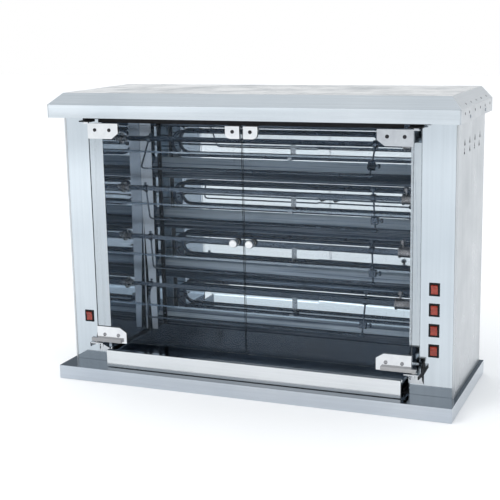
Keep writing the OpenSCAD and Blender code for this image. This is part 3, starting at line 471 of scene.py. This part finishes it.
class Geo:
    """Collects closed shells, in millimetres, into one mesh."""

    def __init__(self):
        self.v, self.f = [], []

    def add(self, verts, faces, T=None):
        k = len(self.v)
        self.v += [(T @ Vector(v)) if T is not None else Vector(v) for v in verts]
        self.f += [tuple(k + i for i in f) for f in faces]

    def tube(self, pts, r, seg=16, T=None, tip=0.3):
        """A round bar along a path, with slightly rounded ends."""
        pts = [Vector(p) for p in pts]
        pts = [p for i, p in enumerate(pts) if i == 0 or (p - pts[i - 1]).length > 1e-4]
        d0, d1 = (pts[1] - pts[0]).normalized(), (pts[-1] - pts[-2]).normalized()
        ends = [pts[0]] + [pts[0] + d0 * r * tip] + pts[1:-1] + [pts[-1] - d1 * r * tip] + [pts[-1]]
        rad = [r * (1 - tip)] + [r] * (len(ends) - 2) + [r * (1 - tip)]
        n = len(ends)
        tan = [((ends[min(i + 1, n - 1)] - ends[max(i - 1, 0)]).normalized()) for i in range(n)]
        ref = Vector((0, 0, 1)) if abs(tan[0].z) < 0.9 else Vector((0, 1, 0))
        u = tan[0].cross(ref).normalized()
        verts = []
        for i in range(n):
            if i:
                u = tan[i - 1].rotation_difference(tan[i]) @ u
            w = tan[i].cross(u)
            for k in range(seg):
                a = 2 * math.pi * k / seg
                verts.append(ends[i] + (u * math.cos(a) + w * math.sin(a)) * rad[i])
        faces = [(i * seg + k, i * seg + (k + 1) % seg, (i + 1) * seg + (k + 1) % seg, (i + 1) * seg + k)
                 for i in range(n - 1) for k in range(seg)]
        faces += [tuple(reversed(range(seg))), tuple((n - 1) * seg + k for k in range(seg))]
        self.add(verts, faces, T)

    def lathe(self, prof, seg=32, T=None, ridges=0.0):
        """A turned part about the local X axis from (x, radius[, ridged]) points, closed at both ends."""
        verts, rows = [], []
        for q in prof:
            x, r = q[0], q[1]
            cut = ridges if len(q) > 2 else 0.0
            if r < 1e-6:
                rows.append([len(verts)])
                verts.append((x, 0, 0))
                continue
            rows.append(list(range(len(verts), len(verts) + seg)))
            for k in range(seg):
                a = 2 * math.pi * k / seg
                rr = r - (cut if k % 2 else 0.0)
                verts.append((x, rr * math.cos(a), rr * math.sin(a)))
        faces = []
        for a, b in zip(rows, rows[1:]):
            for k in range(seg):
                k2 = (k + 1) % seg
                if len(a) == 1 and len(b) == 1:
                    continue
                if len(a) == 1:
                    faces.append((a[0], b[k2], b[k]))
                elif len(b) == 1:
                    faces.append((a[k], a[k2], b[0]))
                else:
                    faces.append((a[k], a[k2], b[k2], b[k]))
        if len(rows[0]) > 1:
            faces.append(tuple(reversed(rows[0])))
        if len(rows[-1]) > 1:
            faces.append(tuple(rows[-1]))
        self.add(verts, faces, T)

    def ring(self, x0, x1, r0, r1, ch=0.6, seg=32, T=None):
        """A chamfered ring about X with a round bore."""
        prof = [(x0, r0), (x0, r1 - ch), (x0 + ch, r1), (x1 - ch, r1), (x1, r1 - ch), (x1, r0)]
        verts = [(x, r * math.cos(2 * math.pi * k / seg), r * math.sin(2 * math.pi * k / seg)) for x, r in prof for k in range(seg)]
        n = len(prof)
        faces = [(i * seg + k, i * seg + (k + 1) % seg, ((i + 1) % n) * seg + (k + 1) % seg, ((i + 1) % n) * seg + k)
                 for i in range(n) for k in range(seg)]
        self.add(verts, faces, T)

    def box(self, a, b, ch=0.5, T=None):
        """A block with rounded edges."""
        bm = bmesh.new()
        bmesh.ops.create_cube(bm, size=1)
        for v in bm.verts:
            v.co = Vector([(a[i] + b[i]) / 2 + v.co[i] * (b[i] - a[i]) for i in range(3)])
        bmesh.ops.bevel(bm, geom=list(bm.edges), offset=ch, segments=2, affect="EDGES", profile=0.6)
        bm.verts.index_update()
        self.add([v.co.copy() for v in bm.verts], [tuple(v.index for v in f.verts) for f in bm.faces], T)
        bm.free()

    def prism(self, outline, x0, x1, T=None, ch=0.0):
        """An outline in (y, z) made thick from x0 to x1."""
        n = len(outline)
        verts = [(x0, y, z) for y, z in outline] + [(x1, y, z) for y, z in outline]
        faces = [tuple(reversed(range(n))), tuple(range(n, 2 * n))] + [(k, (k + 1) % n, n + (k + 1) % n, n + k) for k in range(n)]
        self.add(verts, faces, T)

    def make(self, name, mat, body, slot, *nodes, scale=0.001, angle=34):
        me = bpy.data.meshes.new(name)
        me.from_pydata([tuple(c * scale for c in v) for v in self.v], [], self.f)
        bm = bmesh.new()
        bm.from_mesh(me)
        bmesh.ops.recalc_face_normals(bm, faces=list(bm.faces))
        lim = math.radians(angle)
        for e in bm.edges:
            e.smooth = len(e.link_faces) == 2 and e.calc_face_angle(0) < lim
        for f in bm.faces:
            f.smooth = True
        bm.to_mesh(me)
        bm.free()
        me.materials.append(mat)
        o = bpy.data.objects.new(name, me)
        bpy.context.scene.collection.objects.link(o)
        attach(o, body)
        if nodes:
            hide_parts(*nodes)
        return o


def fillet(pts, r, steps=6):
    """A polyline with its corners bent to radius r."""
    pts = [Vector(p) for p in pts]
    out = [pts[0]]
    for a, b, c in zip(pts, pts[1:], pts[2:]):
        u, w = (a - b).normalized(), (c - b).normalized()
        half = u.angle(w) / 2
        t = min(r / math.tan(half), (a - b).length * 0.49, (c - b).length * 0.49)
        rr = t * math.tan(half)
        centre = b + (u + w).normalized() * (rr / math.sin(half))
        p0, p1 = b + u * t, b + w * t
        for k in range(steps + 1):
            v = (p0 - centre).lerp(p1 - centre, k / steps)
            out.append(centre + v.normalized() * rr)
    out.append(pts[-1])
    return out


MM = Matrix.Identity(4)


def cad(x=0.0, y=0.0, z=0.0, rot=None):
    """Places local millimetres at a CAD point, still in millimetres of the row frame."""
    m_ = Matrix.Translation((x, y + YF, z + ZF))
    return m_ @ rot.to_4x4() if rot is not None else m_


RX = lambda a: Matrix.Rotation(a, 3, "X")
TO_Z = Matrix.Rotation(-math.pi / 2, 3, "Y")      # local X points to +Z
TO_Y = Matrix.Rotation(math.pi / 2, 3, "Z")       # local X points to +Y


def thumb(g, T, x0, x1, r, seg=36):
    """A knurled thumbscrew head from x0 to x1."""
    g.lathe([(x0, 0), (x0, r * 0.62), (x0 + 0.8, r * 0.66), (x0 + 0.9, r * 0.94, 1), (x0 + 1.4, r, 1), (x1 - 0.9, r, 1), (x1 - 0.3, r * 0.93, 1),
             (x1, r * 0.80), (x1, r * 0.42), (x1 - 0.5, r * 0.36), (x1 - 0.5, 0)], seg=seg, T=T, ridges=r * 0.07)


# ------------------------------------------------------------------ skewer forks
for i in range(TIERS):
    g = Geo()
    a, b, ph = YOKE_L[i], YOKE_R[i], math.radians(PHASE[i])
    T = cad(0, SPIT_Y, SZ[i], RX(-ph))
    # fixed fork: one bent rod, welded to its collar
    g.tube(fillet([(a, 0, -8.2), (a, 0, -ROD_R), (b + 8, 0, -ROD_R)], 9, 9), 2.15, 18, T)
    g.ring(a - 5, a + 5, 5.2, 9, 0.9, 32, T)
    g.ring(a - 4.2, a + 4.2, 4.9, 6.2, 0.1, 4, T)
    bead = T @ Matrix.Translation((a, 0, -9.2)) @ TO_Z.to_4x4()
    g.lathe([(-1.8, 0), (-1.6, 3.0), (-0.6, 4.3), (0.6, 4.6), (1.4, 3.6), (1.6, 0)], 20, bead)
    g.lathe([(8, 0), (8, 2.4), (11.6, 2.4), (11.8, 3.6), (14.2, 3.8), (15, 3.2), (15, 1.6), (13.6, 1.5), (13.6, 0)], 24, T @ Matrix.Translation((a, 0, 0)) @ TO_Z.to_4x4())
    # sliding fork: collar, arm, eye round the rod, grip block and its screws
    g.ring(b - 6, b + 6, 5.2, 9.5, 1.0, 32, T)
    g.ring(b - 5.2, b + 5.2, 4.9, 6.2, 0.1, 4, T)
    g.tube([(b, 0, -8.5), (b, 0, -ROD_R + 4.0)], 2.25, 16, T)
    g.ring(b - 4, b + 4, 2.2, 4.7, 0.7, 28, T @ Matrix.Translation((0, 0, -ROD_R)))
    g.box((b - 9, -7, -69), (b + 9, 7, -51), 1.2, T)
    Tz = T @ Matrix.Translation((b, 0, 0)) @ TO_Z.to_4x4()
    g.lathe([(9, 0), (9, 2.5), (18.4, 2.5), (18.4, 0)], 20, Tz)
    thumb(g, Tz, 18, 26, 7)
    Tx = T @ Matrix.Translation((0, 0, -60))
    g.lathe([(b + 8.6, 0), (b + 8.6, 2.5), (b + 15.4, 2.5), (b + 15.4, 0)], 20, Tx)
    thumb(g, Tx, b + 15, b + 21, 5.5, 30)
    g.make("fork_set_%d" % (i + 1), M["skewer"], "skewer_%d" % (i + 1), "skewer_steel", "spit_cage_%d" % (i + 1))

# ------------------------------------------------------------------ roller chain
PITCH_R, CH_X, Z_LOW, Z_TOP = 28.53, 440.0, 62.0, SZ[0]
RUN = Z_TOP - Z_LOW
LOOP = 2 * RUN + 2 * math.pi * PITCH_R


def chain_point(s):
    s %= LOOP
    if s < RUN:
        return Vector((SPIT_Y - PITCH_R, Z_LOW + s))
    s -= RUN
    if s < math.pi * PITCH_R:
        a = math.pi - s / PITCH_R
        return Vector((SPIT_Y + PITCH_R * math.cos(a), Z_TOP + PITCH_R * math.sin(a)))
    s -= math.pi * PITCH_R
    if s < RUN:
        return Vector((SPIT_Y + PITCH_R, Z_TOP - s))
    s -= RUN
    a = -s / PITCH_R
    return Vector((SPIT_Y + PITCH_R * math.cos(a), Z_LOW + PITCH_R * math.sin(a)))


LINKS = 96
g = Geo()
gp = Geo()
for k in range(LINKS):
    p, q = chain_point(LOOP * k / LINKS), chain_point(LOOP * (k + 1) / LINKS)
    mid, d = (p + q) / 2, q - p
    ang = math.atan2(d.y, d.x)
    L = d.length / 2
    outline = []
    for sgn in (1, -1):
        for t in range(9):
            aa = (-0.38 + 0.76 * t / 8) * math.pi + (0 if sgn > 0 else math.pi)
            outline.append((sgn * L + 5.1 * math.cos(aa), 5.1 * math.sin(aa)))
        outline.append((0, sgn * 3.7))
    ca, sa = math.cos(ang), math.sin(ang)
    ol = [(mid.x + y * ca - z * sa, mid.y + y * sa + z * ca) for y, z in outline]
    T = cad(CH_X, 0, 0)
    for s_ in (-1, 1):
        x0 = (3.8 if k % 2 else 4.9) * s_
        g.prism(ol, min(x0, x0 + s_ * 1.0), max(x0, x0 + s_ * 1.0), T)
    Tp = cad(CH_X, p.x, p.y)
    gp.lathe([(-6.5, 0), (-6.5, 1.3), (-6.2, 1.7), (-4.0, 1.7), (-4.0, 0)], 12, Tp)
    gp.lathe([(4.0, 0), (4.0, 1.7), (6.2, 1.7), (6.5, 1.3), (6.5, 0)], 12, Tp)
    clear = all(abs(p.y - z) > 17 for z in SZ + [Z_LOW]) and Z_LOW + 14 < p.y < Z_TOP - 14
    if clear:
        gp.lathe([(-3.75, 0), (-3.75, 3.6), (-3.4, 4.0), (3.4, 4.0), (3.75, 3.6), (3.75, 0)], 18, Tp)
g.make("chain_plates", M["chain"], "cabinet", "drive_steel", "drive_chain")
gp.make("chain_rollers", M["drive"], "cabinet", "drive_steel", "drive_chain")

# ------------------------------------------------------------------ wiring
sleeve, red, blue, tie, lug = Geo(), Geo(), Geo(), Geo(), Geo()
C0 = cad()


def wavy(pts, amp, seed, step=26):
    """Lets a wire wander a little between its fixed points."""
    rnd = random.Random(seed)
    out = [Vector(pts[0])]
    for a, b in zip(pts, pts[1:]):
        a, b = Vector(a), Vector(b)
        n = max(1, int((b - a).length / step))
        for k in range(1, n + 1):
            q = a.lerp(b, k / n)
            if k < n:
                q += Vector([rnd.uniform(-amp, amp) for _ in range(3)])
            out.append(q)
    return out


def spline(pts, steps=5):
    pts = [Vector(p) for p in pts]
    ext = [pts[0] * 2 - pts[1]] + pts + [pts[-1] * 2 - pts[-2]]
    out = []
    for a, b, c, d in zip(ext, ext[1:], ext[2:], ext[3:]):
        for k in range(steps):
            t = k / steps
            out.append(0.5 * ((2 * b) + (c - a) * t + (2 * a - 5 * b + 4 * c - d) * t * t + (3 * b - a - 3 * c + d) * t ** 3))
    out.append(pts[-1])
    return out


def cable_tie(p, along, r):
    T = C0 @ Matrix.Translation(p) @ Vector((1, 0, 0)).rotation_difference(Vector(along)).to_matrix().to_4x4()
    tie.ring(-1.6, 1.6, r - 0.4, r + 0.9, 0.3, 20, T)
    tie.box((-2.2, r - 0.2, -1.8), (2.2, r + 2.6, 1.8), 0.5, T)


SWZ = [262.9, 212.9, 162.9, 112.9]
sleeve.tube(fillet([(484, 60, -16.5), (484, 60, 272)], 6), 3.6, 14, C0)
for z in (20, 140, 190, 240):
    cable_tie((484, 60, z), (0, 0, 1), 3.6)
for n_, z in enumerate(SWZ):
    for k, gg in ((-1, red), (1, blue)):
        for kk in (-6, 6):
            x = 464 + k * 5
            gg.tube(spline(wavy([(x, 31, z + kk), (x, 41, z + kk), (472 + k * 2, 50 + k, z + kk - 4), (481 + k, 57 + k, z - 12 + kk)], 0.6, n_ * 7 + k + kk, 9)), 1.25, 10, C0)
            lug.box((x - 2.4, 26.5, z + kk - 3.4), (x + 2.4, 33, z + kk + 3.4), 0.6, C0)
sleeve.tube(fillet([(484, 60, 106), (484, 255, 106), (478, 288, 111)], 14), 3.2, 14, C0)
for y in (110, 170, 230):
    cable_tie((484, y, 106), (0, 1, 0), 3.2)
sleeve.tube(fillet([(464, 288, 112), (470, 250, 112), (470, 250, HZ[0] + 32)], 16), 3.8, 14, C0)
for z in (200, 340, 480):
    cable_tie((470, 250, z), (0, 0, 1), 3.8)
for i in range(TIERS):
    for k in (-1, 1):
        z = HZ[i] + k * LEG
        for y, gg in ((ROW_Y, red if k < 0 else blue),):
            gg.tube(spline(wavy([(452, y, z), (457, y - 6, z - 2), (466, 255, z - 10), (469.5, 251, z - 20)], 0.5, i * 11 + k + int(y), 12)), 1.5, 10, C0)
            lug.lathe([(446, 0), (446, 4.6), (447.2, 4.6), (447.2, 3.4), (450.5, 3.2), (451.5, 2.0), (451.5, 0)], 20, cad(0, y, z))
for k in range(5):
    x = 437 + 13.5 * k
    gg = (red, blue, tie, red, blue)[k]
    gg.tube(spline([(x, 297, 104), (x, 284, 102), (x + (472 - x) * 0.6, 272, 100 + k), (474, 256, 104)]), 1.5, 10, C0)
sleeve.tube(fillet([(-484, 60, -16.5), (-484, 60, 118)], 6), 2.7, 12, C0)
for k, gg in ((-1, red), (1, blue)):
    gg.tube(spline([(-468.5 + k * 5, 31, 121.5), (-468.5 + k * 5, 42, 120), (-478 + k, 54, 114), (-484 + k * 0.8, 60, 104)]), 1.25, 10, C0)
    lug.box((-468.5 + k * 5 - 2.4, 26.5, 118), (-468.5 + k * 5 + 2.4, 33, 125), 0.6, C0)
sleeve.tube(spline(wavy([(-484, 60, -14), (-470, 62, -17.5), (470, 62, -17.5), (484, 60, -14)], 1.2, 5, 90)), 2.6, 12, C0)
red.tube(spline([(484, 60, 52), (490, 64, 58), (493, 74, 62), (494, 84, 62)]), 1.4, 10, C0)
blue.tube(spline([(484, 60, 44), (492, 66, 50), (497, 76, 58), (498, 84, 60)]), 1.4, 10, C0)
sleeve.make("loom_sleeves", M["wire"], "cabinet", "wire_sleeve", "wiring_loom")
red.make("loom_live_wires", M["wire_r"], "cabinet", "wire_sleeve", "wiring_loom")
blue.make("loom_neutral_wires", M["wire_b"], "cabinet", "wire_sleeve", "wiring_loom")
tie.make("loom_ties", M["bezel"], "cabinet", "wire_sleeve", "wiring_loom")
lug.make("loom_lugs", M["clip"], "cabinet", "clip_steel", "wiring_loom")

# ------------------------------------------------------------------ louvre hoods on the back
g = Geo()
BY = 313.0
for sx in (-1, 1):
    for k in range(12):
        z = 434 + 12 * k
        hood = [(BY - 0.6, z + 3.6), (BY + 0.0, z + 3.9), (BY + 1.6, z + 3.2), (BY + 3.4, z + 0.6), (BY + 4.0, z - 2.4), (BY + 3.4, z - 2.5), (BY + 2.7, z + 0.2), (BY + 1.1, z + 2.4), (BY - 0.6, z + 2.6)]
        x0, x1 = sx * 461 - 33, sx * 461 + 33
        g.prism(hood, x0, x1, C0)
        for xe in (x0, x1 - 0.7):
            g.prism([(BY - 0.6, z + 3.4), (BY + 1.4, z + 3.0), (BY + 3.2, z + 0.6), (BY + 3.8, z - 2.4), (BY - 0.6, z - 2.4)], xe, xe + 0.7, C0)
g.make("back_louvres", M["cab_v"], "cabinet", "cabinet_steel")

# ------------------------------------------------------------------ stage


def new_mesh(name, verts, faces, mat=None, smooth=False):
    me = bpy.data.meshes.new(name)
    me.from_pydata([tuple(v) for v in verts], [], faces)
    me.validate()
    me.update()
    o = bpy.data.objects.new(name, me)
    bpy.context.scene.collection.objects.link(o)
    if mat:
        me.materials.append(mat)
    if smooth:
        for p in me.polygons:
            p.use_smooth = True
    return o


def stage_floor():
    k = Mat("floor")
    k.set(Metallic=0.0)
    k.b.inputs["Specular IOR Level"].default_value = 0.25
    k.color(k.ramp(k.noise(1.3, detail=4), [(0.3, (0.965, 0.97, 0.975)), (0.7, (0.985, 0.987, 0.99))]))
    k.rough(k.range(k.noise(8, detail=4), 0.3, 0.7, 0.55, 0.7))
    s = 14
    o = new_mesh("floor", [(-s, -s, -0.0002), (s, -s, -0.0002), (s, s, -0.0002), (-s, s, -0.0002)], [(0, 1, 2, 3)], k.m)


stage_floor()

world = bpy.data.worlds.new("studio")
bpy.context.scene.world = world
world.use_nodes = True
wt = world.node_tree
wt.nodes.clear()


def wn(kind, **kw):
    node = wt.nodes.new(kind)
    for k_, v in kw.items():
        setattr(node, k_, v)
    return node


tc = wn("ShaderNodeTexCoord")
sep = wn("ShaderNodeSeparateXYZ")
wt.links.new(tc.outputs["Generated"], sep.inputs[0])


def wramp(src, stops, lo=-1.0, hi=1.0):
    mr = wn("ShaderNodeMapRange")
    mr.inputs["From Min"].default_value = lo
    mr.inputs["From Max"].default_value = hi
    wt.links.new(src, mr.inputs["Value"])
    r = wn("ShaderNodeValToRGB")
    els = r.color_ramp.elements
    while len(els) < len(stops):
        els.new(0.5)
    for e_, (p_, c_) in zip(els, stops):
        e_.position = (p_ - lo) / (hi - lo)
        e_.color = (*c_, 1)
    wt.links.new(mr.outputs["Result"], r.inputs["Fac"])
    return r.outputs["Color"]


def g(v, t=0.0):
    return (v * (1 - t), v, v * (1 + t))


# behind the object (+Y): pale at the horizon, a dark card above it, grey overhead
back = wramp(sep.outputs["Z"], [(-0.2, g(0.95)), (0.10, g(0.98)), (0.17, g(0.30, 0.10)), (0.36, g(0.24, 0.12)), (0.50, g(0.50, 0.06)), (0.80, g(0.70, 0.04)), (0.90, g(0.86, 0.03)), (1.0, g(0.84, 0.03))])
# in front of it (-Y): a large pale wall, greyer high up
front = wramp(sep.outputs["Z"], [(-0.2, g(1.0)), (0.15, g(1.05)), (0.45, g(0.85, 0.03)), (0.80, g(0.72, 0.04)), (0.90, g(0.86, 0.03)), (1.0, g(0.84, 0.03))])
side = wn("ShaderNodeMapRange")
side.interpolation_type = "SMOOTHSTEP"
side.inputs["From Min"].default_value = -0.25
side.inputs["From Max"].default_value = 0.35
wt.links.new(sep.outputs["Y"], side.inputs["Value"])
mixw = wn("ShaderNodeMix", data_type="RGBA")
wt.links.new(side.outputs["Result"], mixw.inputs["Factor"])
wt.links.new(front, mixw.inputs[6])
wt.links.new(back, mixw.inputs[7])
lp = wn("ShaderNodeLightPath")
mixc = wn("ShaderNodeMix", data_type="RGBA")
wt.links.new(lp.outputs["Is Camera Ray"], mixc.inputs["Factor"])
wt.links.new(mixw.outputs[2], mixc.inputs[6])
mixc.inputs[7].default_value = (1.0, 1.0, 1.0, 1)
bg = wn("ShaderNodeBackground")
bg.inputs["Strength"].default_value = 1.0
wt.links.new(mixc.outputs[2], bg.inputs["Color"])
wo = wn("ShaderNodeOutputWorld")
wt.links.new(bg.outputs[0], wo.inputs["Surface"])


def area(name, loc, target, size, power, color=(1, 1, 1)):
    d = bpy.data.lights.new(name, "AREA")
    d.shape = "RECTANGLE"
    d.size, d.size_y = size
    d.energy = power
    d.color = color
    o = bpy.data.objects.new(name, d)
    bpy.context.scene.collection.objects.link(o)
    o.location = loc
    o.rotation_euler = (Vector(target) - Vector(loc)).to_track_quat("-Z", "Y").to_euler()
    return o


sun_data = bpy.data.lights.new("overhead", "SUN")
sun_data.angle = math.radians(100)
sun_data.energy = 1.45
sun = bpy.data.objects.new("overhead", sun_data)
bpy.context.scene.collection.objects.link(sun)
sun.rotation_euler = (math.radians(12), math.radians(-8), 0)
sun.visible_glossy = False
key = area("key", (-2.6, -4.2, 2.6), (0, 0, 0.4), (1.6, 2.2), 45)
key.visible_glossy = False

bpy.context.scene.view_settings.view_transform = "Standard"
bpy.context.scene.view_settings.look = "None"
